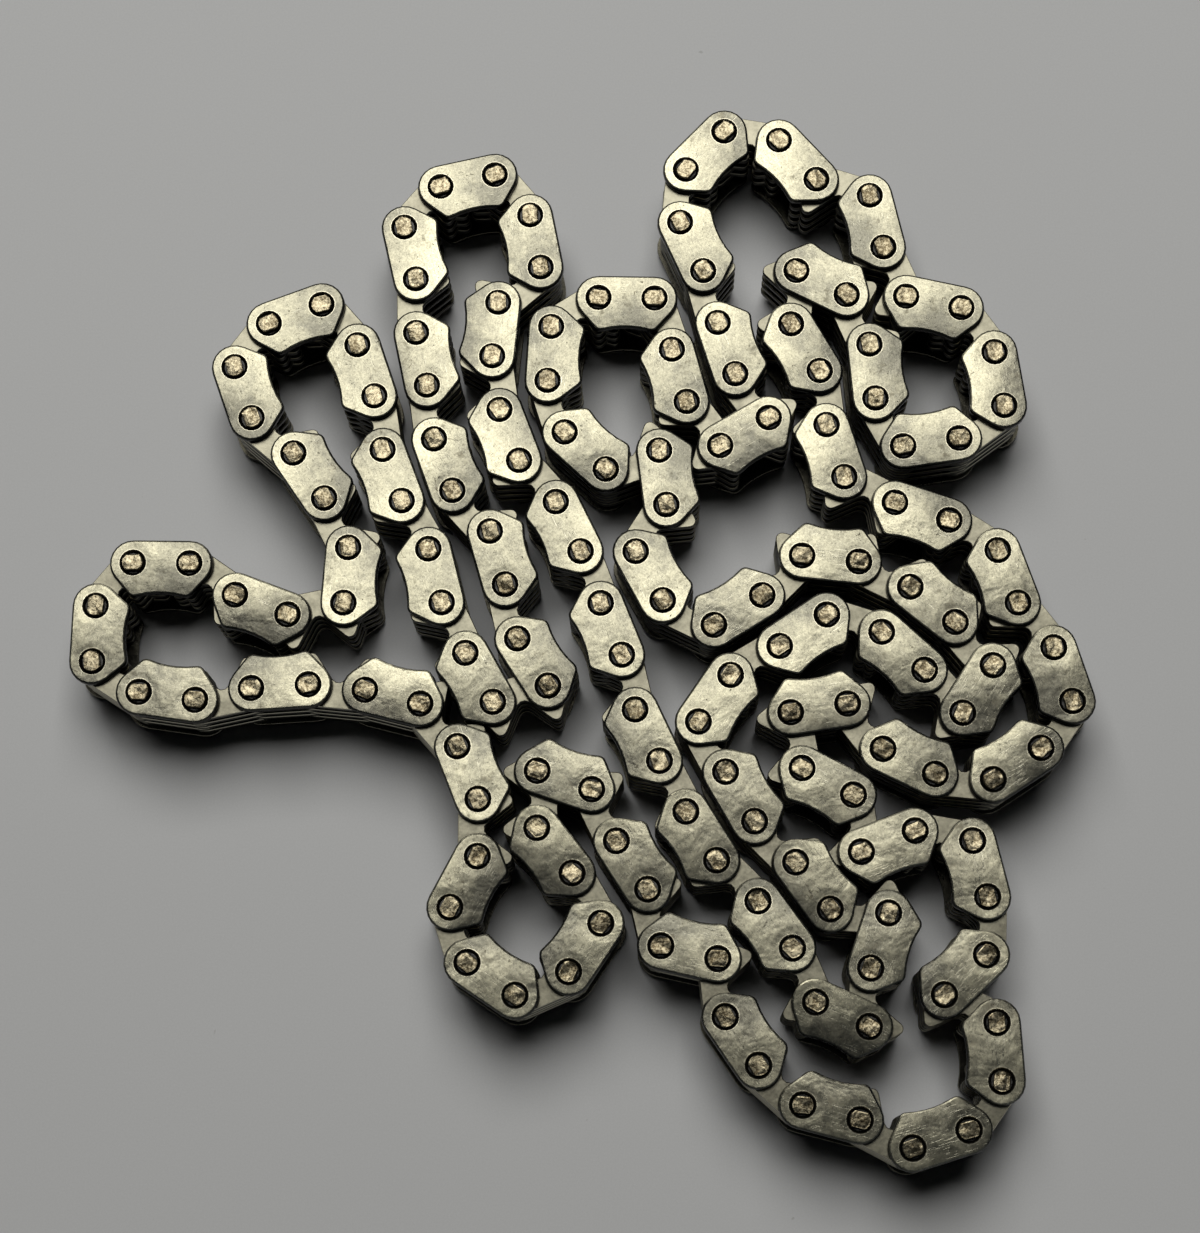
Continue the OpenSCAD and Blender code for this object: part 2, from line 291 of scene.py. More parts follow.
def link_places(pitch):
    """For each body, its links as (number, matrix that puts a plate between its two pins)."""
    pins = laid_pins(pitch)
    places = {}
    for k in range(LINKS):
        a, b = pins[k], pins[(k + 1) % LINKS]
        heading = math.atan2(b.y - a.y, b.x - a.x)
        matrix = Matrix.Translation(((a + b) / 2).to_3d()) @ Matrix.Rotation(heading, 4, "Z")
        places.setdefault(owner(k), []).append((k, matrix))
    return places


def layer_heights(s):
    """Heights of the undersides of the toothed layers."""
    first = s.pin_proud + s.guide_t + s.plate_gap
    return [first + i * (s.plate_t + s.plate_gap) for i in range(LAYERS)]


def upper_guide_height(s):
    """Height of the undersides of the upper guide plates."""
    return layer_heights(s)[-1] + (s.plate_t + s.plate_gap)


def stack_height(s):
    """Height of the whole chain, which is the length of its pins."""
    return upper_guide_height(s) + s.guide_t + s.pin_proud


def up(z):
    """A move to height z."""
    return Matrix.Translation((0, 0, z))


def vertices(geometry):
    """The vertices among what an operator gives back."""
    return [v for v in geometry if isinstance(v, bmesh.types.BMVert)]


def at_height(element, z):
    """Whether an edge or a face lies at height z."""
    return all(abs(v.co.z - z) < SAME_HEIGHT for v in element.verts)


def as_mesh(bm, name):
    """Moves a finished shape into a new mesh."""
    mesh = bpy.data.meshes.new(name)
    bm.to_mesh(mesh)
    bm.free()
    return mesh


def in_scene(name, data):
    """A new object in the scene."""
    thing = bpy.data.objects.new(name, data)
    bpy.context.scene.collection.objects.link(thing)
    return thing


def arc(bm, centre, radius, start, end, steps):
    """Spins a vertex about a centre and returns the arc's first and last vertex."""
    first = bm.verts.new((Vector(centre) + radius * unit(start)).to_3d())
    spun = bmesh.ops.spin(
        bm, geom=[first], cent=(*centre, 0), axis=(0, 0, 1), angle=end - start, steps=steps,
        use_merge=False, use_duplicate=False,
    )
    return first, vertices(spun["geom_last"])[0]


def flank_normal(centre, radius, next_centre, next_radius):
    """Angle of the normal of the outer tangent from one circle to the next, anticlockwise."""
    d = Vector(next_centre) - Vector(centre)
    return math.atan2(d.y, d.x) - math.acos((radius - next_radius) / d.length)


def guide_arcs(s):
    """Arcs of a guide plate's outline, anticlockwise, as centre, radius, start, end and steps."""
    half, end_r, corner_r = s.pitch / 2, s.guide_end_r, s.guide_corner_r
    x, y = s.guide_corner_x - corner_r, corner_r - s.guide_corner_y
    flank = flank_normal((x, y), corner_r, (half, 0), end_r)
    # The arch runs smoothly into the corners, so its circle touches theirs.
    arch_r = (x**2 + s.guide_arch**2) / (2 * s.guide_arch) - corner_r
    arch_y = s.guide_arch - s.guide_corner_y - arch_r
    lean = math.asin(x / (arch_r + corner_r))
    pi = math.pi
    return [
        ((half, 0), end_r, flank, pi / 2, 8),
        ((-half, 0), end_r, pi / 2, pi - flank, 8),
        ((-x, y), corner_r, pi - flank, 1.5 * pi + lean, 4),
        ((0, arch_y), arch_r, pi / 2 + lean, pi / 2 - lean, 5),
        ((x, y), corner_r, -pi / 2 - lean, flank, 4),
    ]


def tooth_arcs(s):
    """Arcs of a toothed plate's outline, as those of a guide plate."""
    half, back_r = s.pitch / 2, s.back_r
    x, y, toe_r = s.toe_x, -s.toe_y, s.toe_r
    flank = flank_normal((x, y), toe_r, (half, 0), back_r)
    # Straight flanks join the crotch's circle to the toes'; crossing is their normal's angle.
    inward = math.hypot(s.toe_x, s.toe_y - s.crotch_y)
    crossing = math.atan2(s.crotch_y - s.toe_y, s.toe_x)
    crossing += math.acos((s.crotch_r + toe_r) / inward)
    pi = math.pi
    return [
        ((half, 0), back_r, flank, pi / 2, 5),
        ((-half, 0), back_r, pi / 2, pi - flank, 5),
        ((-x, y), toe_r, pi - flank, 2 * pi - crossing, 4),
        ((0, -s.crotch_y), s.crotch_r, pi - crossing, crossing, 3),
        ((x, y), toe_r, crossing - pi, flank, 4),
    ]


def raise_faces(bm, faces, height):
    """Extrudes flat faces to a height and closes the shape below with the faces themselves."""
    grown = bmesh.ops.extrude_face_region(bm, geom=faces, use_keep_orig=True)["geom"]
    bmesh.ops.translate(bm, vec=(0, 0, height), verts=vertices(grown))
    bmesh.ops.recalc_face_normals(bm, faces=bm.faces[:])


def blank(arcs, thickness):
    """A flat closed blank with its underside at zero."""
    bm = bmesh.new()
    ends = [arc(bm, *a) for a in arcs]
    for (_, last), (first, _) in zip(ends, ends[1:] + ends[:1]):
        bm.edges.new((last, first))
    bmesh.ops.remove_doubles(bm, verts=bm.verts[:], dist=SAME_PLACE)
    outline = bmesh.ops.contextual_create(bm, geom=bm.edges[:])["faces"]
    raise_faces(bm, outline, thickness)
    return bm


def roll_rim(bm, z, width, segments):
    """Rounds the outline's edge at height z."""
    bmesh.ops.bevel(
        bm, geom=[e for e in bm.edges if at_height(e, z)], offset=width, offset_type="OFFSET",
        segments=segments, profile=0.5, affect="EDGES", clamp_overlap=True, material=-1,
    )


def cap_at(bm, z):
    """The many-sided face at height z."""
    return max((f for f in bm.faces if at_height(f, z)), key=lambda f: len(f.verts))


def bore_through(bm, top, bottom, half, rings, sides):
    """Cuts two round holes between the caps; rings are radius and height from the top down."""
    rims = [list(cap.edges) for cap in (top, bottom)]
    bmesh.ops.delete(bm, geom=[top, bottom], context="FACES_ONLY")
    for x in (-half, half):
        loops = []
        for radius, z in rings:
            made = bmesh.ops.create_circle(
                bm, cap_ends=False, radius=radius, segments=sides,
                matrix=Matrix.Translation((x, 0, z)),
            )
            loops.append(list(dict.fromkeys(e for v in made["verts"] for e in v.link_edges)))
        for upper, lower in zip(loops, loops[1:]):
            bmesh.ops.bridge_loops(bm, edges=upper + lower)
        rims[0] += loops[0]
        rims[1] += loops[-1]
    for rim in rims:
        filled = bmesh.ops.triangle_fill(bm, use_beauty=True, use_dissolve=False, edges=rim)
        seams = [e for e in filled["geom"] if isinstance(e, bmesh.types.BMEdge) and e not in rim]
        bmesh.ops.dissolve_limit(bm, angle_limit=FLAT_ANGLE, verts=[], edges=seams)
    bmesh.ops.recalc_face_normals(bm, faces=bm.faces[:])


def template(bm, name, sunk=None, rim=None, crease=PLATE_CREASE):
    """Turns a shape in millimetres into a mesh in metres with the attributes that finishes read.

    Wall says how steep the surface is, sink and rim where the tests sunk and rim hold, and grain
    the place on the plate or pin in millimetres. Tone is a number of each copy's own.
    """
    bm.normal_update()
    wall_of = bm.verts.layers.float.new("wall")
    sink_of = bm.verts.layers.float.new("sink")
    rim_of = bm.verts.layers.float.new("rim")
    bm.verts.layers.float.new("tone")
    grain_of = bm.verts.layers.float_vector.new("grain")
    for v in bm.verts:
        v[wall_of] = 1 - abs(v.normal.z)
        v[sink_of] = 1.0 if sunk and sunk(v) else 0.0
        v[rim_of] = 1.0 if rim and rim(v) else 0.0
        v[grain_of] = v.co
    for f in bm.faces:
        f.smooth = abs(f.normal.z) < LEVEL_NORMAL
    for e in bm.edges:
        e.smooth = len(e.link_faces) == 2 and e.calc_face_angle(0) < crease
    bmesh.ops.scale(bm, vec=(MM, MM, MM), verts=bm.verts[:])
    return as_mesh(bm, name)


def guide_plate_template(s):
    """A guide plate with a rolled edge and two countersinks."""
    bm = blank(guide_arcs(s), s.guide_t)
    roll_rim(bm, s.guide_t, s.guide_roll, 2)
    roll_rim(bm, 0, HEM, 1)
    bmesh.ops.inset_region(
        bm, faces=[cap_at(bm, s.guide_t)], thickness=s.crown_w, depth=0, use_even_offset=True,
        use_boundary=True,
    )
    face = cap_at(bm, s.guide_t)
    outside = set(bm.verts) - set(face.verts)
    half = s.pitch / 2
    rings = [
        (s.sink_r + MOUTH_W, s.guide_t), (s.sink_r, s.guide_t - MOUTH_D),
        (s.pin_r + SINK_FOOT, s.guide_t - s.sink_d), (s.pin_r + PRESS_GAP, 0),
    ]
    bore_through(bm, face, cap_at(bm, 0), half, rings, GUIDE_BORE_SIDES)

    def sunk(v):
        return math.hypot(abs(v.co.x) - half, v.co.y) < s.sink_r + MOUTH_W / 2

    return template(bm, "guide_plate", sunk, lambda v: v in outside)


def toothed_plate_template(s):
    """A toothed plate with softened edges and two bores."""
    bm = blank(tooth_arcs(s), s.plate_t)
    roll_rim(bm, s.plate_t, s.plate_roll, 1)
    roll_rim(bm, 0, s.plate_roll, 1)
    bore = s.pin_r + s.bore_clear
    rings = [(bore, s.plate_t), (bore, 0)]
    bore_through(bm, cap_at(bm, s.plate_t), cap_at(bm, 0), s.pitch / 2, rings, TOOTHED_BORE_SIDES)
    return template(bm, "toothed_plate")


def staked_end(s, rng):
    """The upper end of a pin, with two flats, a bevel and a slightly hammered top."""
    bm = bmesh.new()
    bmesh.ops.create_circle(bm, cap_ends=True, radius=s.head_r, segments=STAKE_SIDES)
    for side in (-1, 1):
        bmesh.ops.bisect_plane(
            bm, geom=bm.verts[:] + bm.edges[:] + bm.faces[:], dist=ON_PLANE,
            plane_co=(0, side * s.head_flats / 2, 0), plane_no=(0, side, 0), clear_outer=True,
        )
    height = s.pin_proud + s.sink_d + STAKE_ROOT
    raise_faces(bm, bm.faces[:], height)
    roll_rim(bm, height, s.head_bevel, 2)
    top = cap_at(bm, height)
    bmesh.ops.inset_region(bm, faces=[top], thickness=STAKE_RING, use_boundary=True)
    bmesh.ops.poke(bm, faces=[top])
    spot = Vector((rng.uniform(0, DENT_RANGE), rng.uniform(0, DENT_RANGE), 0))
    hammered = [v for v in bm.verts if v.co.z > height - SAME_HEIGHT]
    falls = [DENT_DEPTH * noise.noise(v.co * DENT_SCALE + spot) for v in hammered]
    for v, fall in zip(hammered, falls):
        v.co.z += fall - max(falls)
    return as_mesh(bm, "staked_end"), height


def pin_template(s, stack, rng):
    """A pin with two staked ends."""
    bm = bmesh.new()
    bmesh.ops.create_cone(
        bm, cap_ends=True, segments=PIN_SIDES, radius1=s.pin_r, radius2=s.pin_r,
        depth=stack - 2 * (s.pin_proud + s.sink_d), matrix=up(stack / 2),
    )
    for turn in (0, math.pi):
        mesh, height = staked_end(s, rng)
        mesh.transform(up(stack / 2) @ Matrix.Rotation(turn, 4, "X") @ up(stack / 2 - height))
        bm.from_mesh(mesh)
        bpy.data.meshes.remove(mesh)
    bmesh.ops.recalc_face_normals(bm, faces=bm.faces[:])

    def sunk(v):
        return abs(v.co.z - stack / 2) < stack / 2 - s.pin_proud

    return template(bm, "pin", sunk, crease=PIN_CREASE)


class Field:
    """A shader socket that takes part in Python expressions."""

    def __init__(self, finish, socket):
        self.finish, self.socket = finish, socket

    def math(self, operation, *others):
        """A Math node whose first value is this socket, with up to two others after it."""
        return self.finish.add(
            "ShaderNodeMath", {"operation": operation}, dict(enumerate((self, *others)))
        )

    def __add__(self, other):
        return self.math("ADD", other)

    def __sub__(self, other):
        return self.math("SUBTRACT", other)

    def __rsub__(self, other):
        return self.math("MULTIPLY_ADD", -1, other)

    def __mul__(self, other):
        return self.math("MULTIPLY", other)

    __radd__, __rmul__ = __add__, __mul__

    def between(self, low, high):
        """Zero below low, one above high and smooth between them."""
        return self.finish.add(
            "ShaderNodeMapRange", {"interpolation_type": "SMOOTHSTEP"},
            {"Value": self, "From Min": low, "From Max": high},
        )


class Finish:
    """A material whose nodes are made from expressions."""

    def __init__(self, name):
        self.material = bpy.data.materials.new(name)
        self.material.use_nodes = True
        self.tree = self.material.node_tree
        self.tree.nodes.clear()
        self.shader = self.tree.nodes.new("ShaderNodeBsdfPrincipled")
        output = self.tree.nodes.new("ShaderNodeOutputMaterial")
        self.tree.links.new(self.shader.outputs[0], output.inputs["Surface"])

    def put(self, socket, value):
        """Links a field to a socket, or sets the socket's value."""
        if isinstance(value, Field):
            self.tree.links.new(value.socket, socket)
        else:
            socket.default_value = value

    def add(self, kind, settings=None, inputs=None, output=0):
        """A node of a kind, with its settings, its inputs and the output that is used."""
        node = self.tree.nodes.new(kind)
        for name, value in (settings or {}).items():
            setattr(node, name, value)
        for name, value in (inputs or {}).items():
            self.put(node.inputs[name], value)
        return Field(self, node.outputs[output])

    def shade(self, **inputs):
        """Sets the surface's own sockets."""
        for name, value in inputs.items():
            self.put(self.shader.inputs[name.replace("_", " ")], value)

    def attribute(self, name, output="Fac"):
        """A value that each plate or pin carries."""
        return self.add("ShaderNodeAttribute", {"attribute_name": name}, output=output)

    def grain(self, scale=(1, 1, 1), turn=0.0):
        """Coordinates in millimetres on the plate or pin itself, turned and stretched."""
        return self.add(
            "ShaderNodeMapping", {},
            {"Vector": self.attribute("grain", "Vector"), "Rotation": (0, 0, turn), "Scale": scale},
        )

    def on_plate(self):
        """The three coordinates on the plate or pin itself, in millimetres."""
        grain = self.attribute("grain", "Vector")
        return [self.add("ShaderNodeSeparateXYZ", {}, {"Vector": grain}, axis) for axis in "XYZ"]

    def in_model(self):
        """Coordinates in metres in the model's frame."""
        return self.add("ShaderNodeTexCoord", {}, {}, "Object")

    def noise(self, vector, w, scale, detail=3.0, roughness=0.55, distortion=0.0):
        """Noise at a place, where w sets one pattern apart from the next."""
        return self.add(
            "ShaderNodeTexNoise", {"noise_dimensions": "4D"},
            {"Vector": vector, "W": w, "Scale": scale, "Detail": detail, "Roughness": roughness,
             "Distortion": distortion},
        )

    def mixed(self, factor, a, b):
        """A colour between a and b, which are fields or plain colours."""
        a, b = (c if isinstance(c, Field) else (*c, 1.0) for c in (a, b))
        # The colours of a Mix node are its inputs 6 and 7 and its output 2.
        return self.add(
            "ShaderNodeMix", {"data_type": "RGBA", "clamp_factor": True}, {0: factor, 6: a, 7: b}, 2
        )

    def scaled(self, tint, factor):
        """A colour made lighter or darker by a factor."""
        return self.add(
            "ShaderNodeVectorMath", {"operation": "SCALE"}, {"Vector": tint, "Scale": factor}
        )

    def bump(self, height, step, strength=1.0):
        """A normal from a height that is counted in steps, each of so many millimetres."""
        return self.add(
            "ShaderNodeBump", {}, {"Height": height, "Distance": step * MM, "Strength": strength}
        )


def bore_distance(s, x, y):
    """Distance of a place on a plate from the middle of the nearer bore."""
    return ((x.math("ABSOLUTE") - s.pitch / 2).math("POWER", 2) + y * y).math("SQRT")


def scratches(finish, tone, turn, seed, low, high):
    """Fine straight scratches in one direction."""
    stretched = finish.grain((0.35, 9.0, 1.0), turn)
    lines = finish.noise(stretched, tone * 31 + seed, 1.6, 2.0, 0.5)
    patches = finish.noise(finish.grain(), tone * 17 + seed, 0.45, 1.0)
    return lines.between(low, high) * patches.between(0.42, 0.62)


def guide_finish(s, looks):
    """Warm satin steel with a painted sheen across each plate, and specks, stains and scratches."""
    f = Finish("guide_plate_satin_steel")
    tone, wall, sink, rim = (f.attribute(name) for name in ("tone", "wall", "sink", "rim"))
    x, y, z = f.on_plate()
    from_bore = bore_distance(s, x, y)

    # Each plate has its own patterns and a painted sheen that shades it off in its own direction.
    grain, own = f.grain(), tone * 43
    along, across = ((tone * n).math("FRACT") - 0.5 for n in (5.3, 7.31))
    cloud = f.noise(grain, own, 0.30, 3.0, 0.55, 0.4)
    mottle = f.noise(grain, own + 5, 1.1, 6.0, 0.72)
    grit = f.noise(grain, own + 23, 6.5, 3.0, 0.7)
    pits = f.noise(grain, own + 11, 2.6, 5.0, 0.78).between(0.625, 0.68)
    stain = f.noise(grain, own + 19, 0.62, 5.0, 0.72).between(0.57, 0.68)
    vein = (f.noise(grain, own + 31, 0.55, 2.0, 0.5) - 0.5).math("ABSOLUTE")
    hair = (1 - vein.between(0.004, 0.016)) * f.noise(grain, own + 37, 0.3).between(0.62, 0.66)
    lines = scratches(f, tone, 0.35, 3, 0.61, 0.67) + scratches(f, tone, 1.9, 8, 0.62, 0.68)

    # Painted sheen: the steel grows lighter across each plate in its own direction; clouds, mottle
    # and tone are its own.
    light = x * along * 0.18 + y * across * 0.28 + cloud.between(0.30, 0.70) * 0.40
    light = light + mottle.between(0.36, 0.64) * 0.24 + tone * 0.25 - 0.02
    steel = f.mixed(light, looks.guide_dark, looks.guide_light)
    steel = f.scaled(steel, 0.70 + grit.between(0.30, 0.70) * 0.56)
    steel = f.mixed(stain * 0.28 + pits * 0.85, steel, looks.speck)
    steel = f.mixed(lines * 0.35, steel, looks.scratch)
    steel = f.mixed(hair * 0.75, steel, looks.hair)

    # The edges and the mouths of the countersinks are burnished bright, with a painted highlight.
    mouth_edge = s.sink_r + MOUTH_W
    mouth = from_bore.between(s.sink_r, s.sink_r + 0.03)
    mouth = mouth * (1 - from_bore.between(mouth_edge, mouth_edge + 0.08))
    edge = z.between(s.guide_t - 0.055, s.guide_t - 0.030) * rim.between(0.62, 0.90) * (1 - sink)
    steel = f.mixed(edge * 0.80 + mouth * 0.55, steel, looks.burnish_and_glint)

    # Oil and painted shade darken walls, the plate low down but for its hem, and the countersinks.
    hem = z.between(0.004, 0.012) * (1 - z.between(HEM - 0.005, HEM + 0.010))
    steel = f.mixed(wall.between(0.19, 0.36) * 0.92, steel, looks.oil_and_shade)
    steel = f.mixed((1 - z.between(0.10, 0.45)) * (1 - hem) * 0.85, steel, looks.oil_and_shade)
    # The hem at the very foot is burnished, with a painted highlight.
    steel = f.mixed(hem * 0.5, steel, looks.burnish_and_glint)
    steel = f.mixed(sink * 0.90, steel, looks.oil_and_shade)
    rough = 0.185 + mottle * 0.08 + stain * 0.12 - lines * 0.08 + cloud * 0.10

    # No plate is flat or level: it falls to its edge, dips at its bores and leans its own way.
    step = 0.014
    warp = x * along * 4.8 + y * across * 4.8 - x * x * 0.22 - y * y * 0.65 + cloud * 8.0
    warp = warp - rim * rim * (s.crown_d / step)
    warp = warp + from_bore.between(s.sink_r, s.sink_r + 1.0) * 1.6
    height = warp + mottle * 0.28 + grit * 0.06 - lines * 0.3 - pits * 0.8
    f.shade(
        Base_Color=steel, Roughness=rough, Metallic=1 - sink * 0.4, Normal=f.bump(height, step)
    )
    return f.material


def toothed_finish(s, looks):
    """Plain grey steel with walls of oil and painted shade, and corners rubbed to a painted
    highlight.
    """
    f = Finish("toothed_plate_grey_steel")
    x, y, z = f.on_plate()

    # Each plate has its own patterns.
    grain, own = f.grain(), f.attribute("tone") * 37
    cloud = f.noise(grain, own, 0.5, 3.0)
    mottle = f.noise(grain, own + 4, 3.2, 5.0, 0.65)
    streaks = f.noise(f.grain((1.0, 1.0, 5.0)), own + 9, 1.4, 3.0)
    pits = f.noise(grain, own + 13, 2.6, 5.0, 0.78).between(0.63, 0.69)

    shade = cloud.between(0.35, 0.65) * 0.6 + mottle.between(0.35, 0.65) * 0.4
    face = f.mixed(shade, f.scaled(looks.toothed, 0.52), looks.toothed)
    face = f.mixed(pits * 0.8, face, looks.pit)

    # Oil and painted shade darken the faces inside the stack; only the outermost faces are clean.
    middle = stack_height(s) / 2
    outermost = middle - s.pin_proud - s.guide_t - s.plate_gap
    stack_z = f.add("ShaderNodeSeparateXYZ", {}, {"Vector": f.in_model()}, "Z") * (1 / MM)
    from_core = (stack_z - middle).math("ABSOLUTE")
    oiled_and_shaded_inside = 1 - from_core.between(outermost - s.plate_t * 0.6, outermost - s.plate_t * 0.3)
    # Oil and a painted shadow darken them under the guide plates, up to where those end over them.
    oiled_and_shaded_under_guides = 1 - bore_distance(s, x, y).between(s.guide_end_r - 0.02, s.guide_end_r + 0.10)
    face = f.mixed(oiled_and_shaded_under_guides * 0.85 + oiled_and_shaded_inside * 0.80, face, looks.oil_and_shade)

    # From the middle of a plate's thickness outwards: its wall, its softened corner, its face.
    half = s.plate_t / 2
    corner = half - s.plate_roll
    from_middle = (z - half).math("ABSOLUTE")
    wall = 1 - from_middle.between(corner - 0.01, corner + 0.02)
    flat = from_middle.between(half - 0.020, half - 0.004)
    # The walls are dark for oil and as painted shade; the softened corners get a painted highlight.
    oiled_and_shaded_wall = f.mixed(streaks.between(0.35, 0.75), looks.wall_dark, looks.wall_light)
    steel = f.mixed(flat, f.scaled(looks.burnish_and_glint, 0.75), face)
    steel = f.mixed(wall, steel, oiled_and_shaded_wall)
    height = cloud * 5.0 + mottle * 0.9 + streaks * wall * 1.5
    f.shade(
        Base_Color=steel, Roughness=0.26 + mottle * 0.16 + wall * 0.12, Metallic=1.0,
        Normal=f.bump(height, 0.012, 0.7),
    )
    return f.material


def pin_finish(looks):
    """Brown hardened steel, hammered and rubbed bright on top of its staked ends."""
    f = Finish("pin_staked_steel")
    tone, wall, sink = (f.attribute(name) for name in ("tone", "wall", "sink"))
    grain, own = f.grain(), tone * 61
    dents = f.noise(grain, own, 1.0, 1.5, 0.5)
    mottle = f.noise(grain, own + 3, 3.4, 6.0, 0.76)
    bright = dents.between(0.38, 0.62) * 0.45 + mottle.between(0.43, 0.58) * 0.90
    steel = f.mixed(bright + tone * 0.34 - 0.36, looks.pin_dark, looks.pin_light)
    # Oil and painted shade darken the sides of the staked ends and the pin inside the stack.
    steel = f.mixed(wall.between(0.6, 0.95) * 0.90, steel, looks.oil_and_shade)
    steel = f.mixed(sink, steel, looks.oil_and_shade)
    f.shade(
        Base_Color=steel, Roughness=0.19 + mottle * 0.18, Metallic=1 - sink * 0.8,
        Normal=f.bump(dents * 4.2 + mottle * 1.1, 0.032, 0.9),
    )
    return f.material


def floor_finish(looks):
    """Pale grey floor with faint clouds and specks."""
    f = Finish("floor_pale_grey")
    place = f.in_model()
    cloud = f.noise(place, 0.0, 9.0, 3.0)
    grain = f.noise(place, 4.0, 4200.0, 2.0, 0.7)
    specks = f.noise(place, 2.0, 620.0, 2.0).between(0.735, 0.77)
    paint = f.mixed(cloud * 0.5, looks.floor, [c * 0.93 for c in looks.floor])
    paint = f.mixed(specks * 0.30, f.scaled(paint, 0.93 + grain * 0.14), looks.floor_speck)
    f.shade(Base_Color=paint, Roughness=0.62, Specular_IOR_Level=0.25)
    return f.material


def assemble(name, body, nodes, material, copies):
    """Joins copies of templates, each with its matrix and tone, into one piece of a body."""
    bm = bmesh.new()
    for mesh, matrix, tone in copies:
        copy = mesh.copy()
        copy.transform(Matrix.Scale(MM, 4) @ matrix @ Matrix.Scale(1 / MM, 4))
        copy.attributes["tone"].data.foreach_set("value", [tone] * len(copy.vertices))
        bm.from_mesh(copy)
        bpy.data.meshes.remove(copy)
    joined = as_mesh(bm, name)
    joined.materials.append(material)
    piece = in_scene(name, joined)
    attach(piece, body)
    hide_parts(*nodes)


def add_camera(scene):
    """The camera, where the photograph was taken from."""
    camera = in_scene("camera", bpy.data.cameras.new("camera"))
    camera.data.sensor_width = SENSOR
    camera.data.lens = FOCAL_LENGTH / IMAGE_HEIGHT * SENSOR
    camera.data.shift_y = SHIFT / IMAGE_HEIGHT
    camera.data.clip_start, camera.data.clip_end = CLIP_START, CLIP_END
    camera.location = Vector(CAMERA_PLACE) * MM
    camera.rotation_euler = [math.radians(a) for a in CAMERA_TURN]
    scene.camera = camera
    scene.view_settings.view_transform = "Standard"


def add_floor(looks):
    """The floor on which the chain lies."""
    bm = bmesh.new()
    bmesh.ops.create_grid(
        bm, x_segments=FLOOR_CELLS, y_segments=FLOOR_CELLS, size=FLOOR_REACH
    )
    mesh = as_mesh(bm, "floor")
    mesh.materials.append(floor_finish(looks))
    in_scene("floor", mesh)


def add_lights(scene):
    """The window, the card and the sky."""
    for name, place, size, power, tint, on_floor in LIGHTS:
        light = bpy.data.lights.new(name, "AREA")
        light.shape = "RECTANGLE"
        light.size, light.size_y = size
        light.energy = power
        light.color = tint
        lamp = in_scene(name, light)
        lamp.visible_diffuse = on_floor
        lamp.location = place
        lamp.rotation_euler = (-Vector(place)).to_track_quat("-Z", "Y").to_euler()
    scene.world = world = bpy.data.worlds.new("studio")
    world.use_nodes = True
    background = world.node_tree.nodes["Background"]
    background.inputs["Color"].default_value = SKY
    background.inputs["Strength"].default_value = SKY_STRENGTH
    world.cycles_visibility.diffuse = False


class CHAIN_OT_stage(bpy.types.Operator):
    """Makes the camera, the floor and the lights"""

    bl_idname = "chain.stage"
    bl_label = "Stage"

    def execute(self, context):
        add_camera(context.scene)
        add_floor(context.scene.chain_looks)
        add_lights(context.scene)
        return {"FINISHED"}


class CHAIN_OT_guide_plates(bpy.types.Operator):
    """Makes the guide plates above and below every guide link"""

    bl_idname = "chain.guide_plates"
    bl_label = "Guide plates"

    def execute(self, context):
        s, looks = context.scene.chain_sizes, context.scene.chain_looks
        mesh = guide_plate_template(s)
        material = guide_finish(s, looks)
        upper, lower = up(upper_guide_height(s)), up(s.pin_proud + s.guide_t)
        turned_over = Matrix.Rotation(math.pi, 4, "Y")
        rng = random.Random(GUIDE_SEED)
        for body, links in link_places(s.pitch).items():
            copies = []
            for k, matrix in links:
                if is_guide(k):
                    copies.append((mesh, matrix @ upper, rng.random()))
                    copies.append((mesh, matrix @ lower @ turned_over, rng.random()))
            if copies:
                assemble(
                    f"{body}_rolled_guide_plates", body, [f"{body}_guide_plates"],
                    material, copies,
                )
        bpy.data.meshes.remove(mesh)
        return {"FINISHED"}


class CHAIN_OT_toothed_plates(bpy.types.Operator):
    """Makes the toothed plates of the guide links and of the plain links"""

    bl_idname = "chain.toothed_plates"
    bl_label = "Toothed plates"

    def execute(self, context):
        s, looks = context.scene.chain_sizes, context.scene.chain_looks
        mesh = toothed_plate_template(s)
        material = toothed_finish(s, looks)
        layers = layer_heights(s)
        rng = random.Random(TOOTHED_SEED)
        for body, links in link_places(s.pitch).items():
            middle, plain = [], []
            for k, matrix in links:
                group, heights = (middle, layers[1::2]) if is_guide(k) else (plain, layers[0::2])
                group.extend((mesh, matrix @ up(z), rng.random()) for z in heights)
            if body == "base":
                plain_nodes = ["base_outer_link_plates", "base_inner_link_plates"]
                pieces = [
                    ("base_middle_toothed_plates", ["base_middle_plates"], middle),
                    ("base_plain_toothed_plates", plain_nodes, plain),
                ]
            else:
                node = body if "_bar_" in body else f"{body}_toothed_plates"
                pieces = [(f"{body}_softened_plates", [node], middle + plain)]
            for name, nodes, copies in pieces:
                assemble(name, body, nodes, material, copies)
        bpy.data.meshes.remove(mesh)
        return {"FINISHED"}


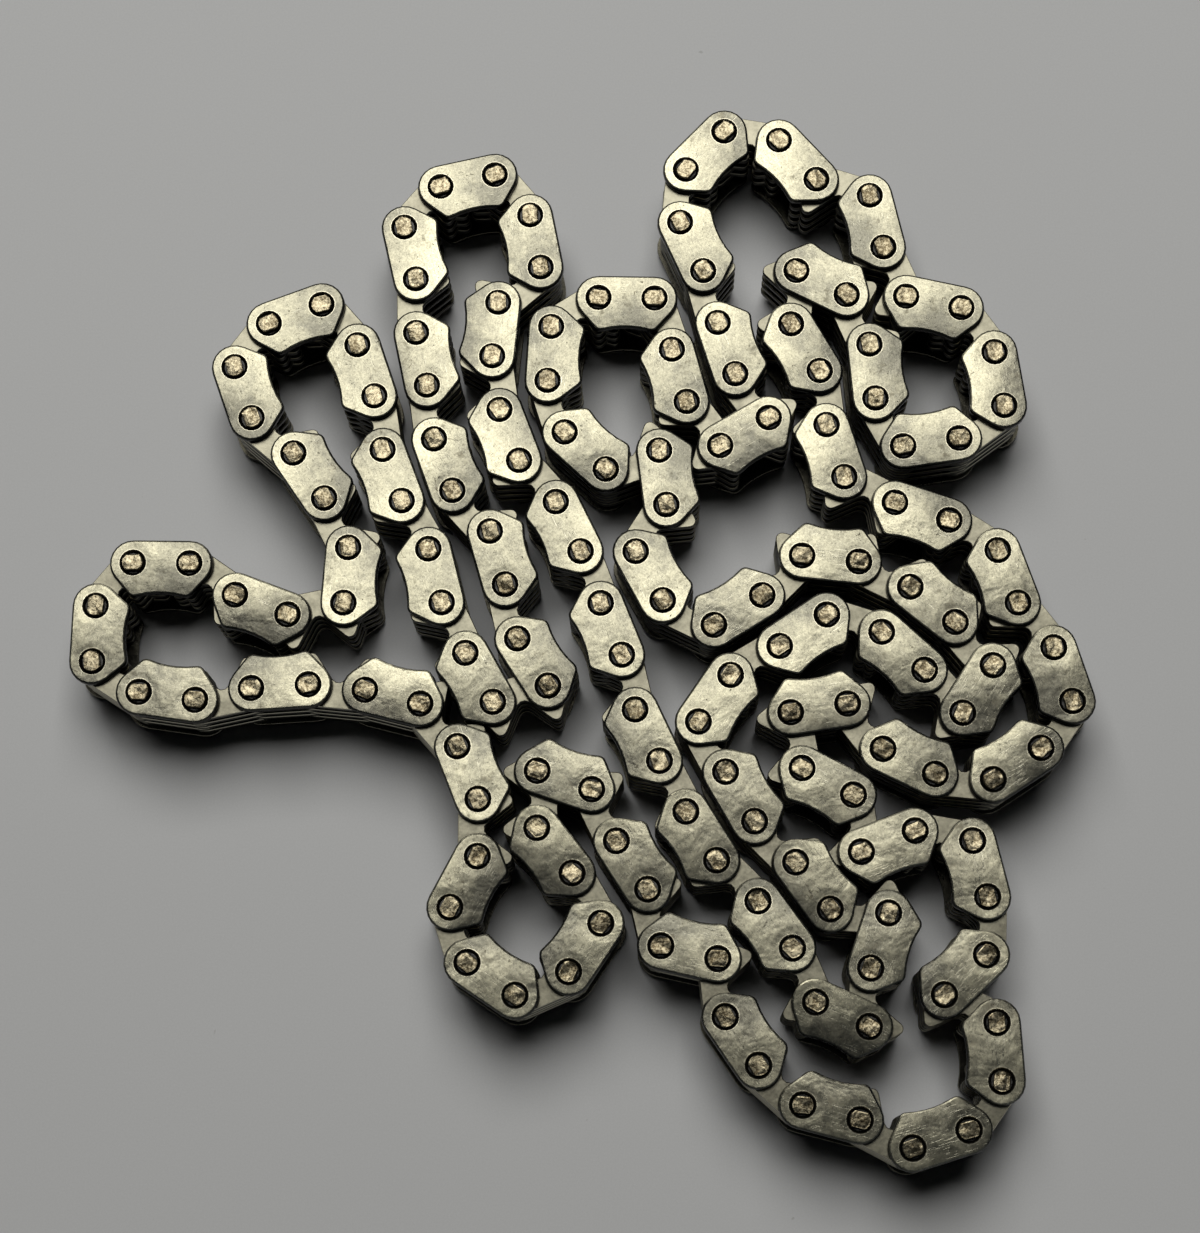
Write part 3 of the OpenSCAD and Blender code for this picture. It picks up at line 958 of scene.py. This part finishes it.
class CHAIN_OT_pins(bpy.types.Operator):
    """Makes the pins with their staked ends"""

    bl_idname = "chain.pins"
    bl_label = "Pins"

    def execute(self, context):
        s, looks = context.scene.chain_sizes, context.scene.chain_looks
        rng = random.Random(PIN_SEED)
        stack = stack_height(s)
        kinds = [pin_template(s, stack, rng) for _ in range(PIN_KINDS)]
        material = pin_finish(looks)
        for body, links in link_places(s.pitch).items():
            copies = []
            for k, matrix in links:
                if is_guide(k):
                    for x in (-s.pitch / 2, s.pitch / 2):
                        turn = Matrix.Rotation(math.radians(rng.gauss(0, PIN_TURN)), 4, "Z")
                        kind = rng.choice(kinds)
                        place = matrix @ Matrix.Translation((x, 0, 0)) @ turn
                        copies.append((kind, place, rng.random()))
            if copies:
                assemble(
                    f"{body}_staked_pins", body, [f"{body}_pins"], material, copies
                )
        for mesh in kinds:
            bpy.data.meshes.remove(mesh)
        return {"FINISHED"}


class CHAIN_PT_pieces(bpy.types.Panel):
    """Lists the chain's pieces, sizes and colours"""

    bl_idname = "CHAIN_PT_pieces"
    bl_label = "Timing chain"
    bl_space_type = "VIEW_3D"
    bl_region_type = "UI"
    bl_category = "Timing chain"

    def draw(self, context):
        column = self.layout.column()
        for operator in OPERATORS:
            column.operator(operator.bl_idname)
        for group in (context.scene.chain_sizes, context.scene.chain_looks):
            for name in group.bl_rna.properties.keys():
                if name not in ("rna_type", "name"):
                    column.prop(group, name)


OPERATORS = (CHAIN_OT_stage, CHAIN_OT_guide_plates, CHAIN_OT_toothed_plates, CHAIN_OT_pins)
CLASSES = (ChainSizes, ChainLooks, *OPERATORS, CHAIN_PT_pieces)


def register():
    """Registers the classes and gives the scene its sizes and looks."""
    for cls in CLASSES:
        bpy.utils.register_class(cls)
    bpy.types.Scene.chain_sizes = PointerProperty(type=ChainSizes)
    bpy.types.Scene.chain_looks = PointerProperty(type=ChainLooks)


def unregister():
    """Undoes what register did."""
    del bpy.types.Scene.chain_sizes
    del bpy.types.Scene.chain_looks
    for cls in reversed(CLASSES):
        bpy.utils.unregister_class(cls)


def main():
    """Makes the whole scene."""
    register()
    bpy.ops.chain.stage()
    bpy.ops.chain.guide_plates()
    bpy.ops.chain.toothed_plates()
    bpy.ops.chain.pins()


if __name__ == "__main__":
    main()
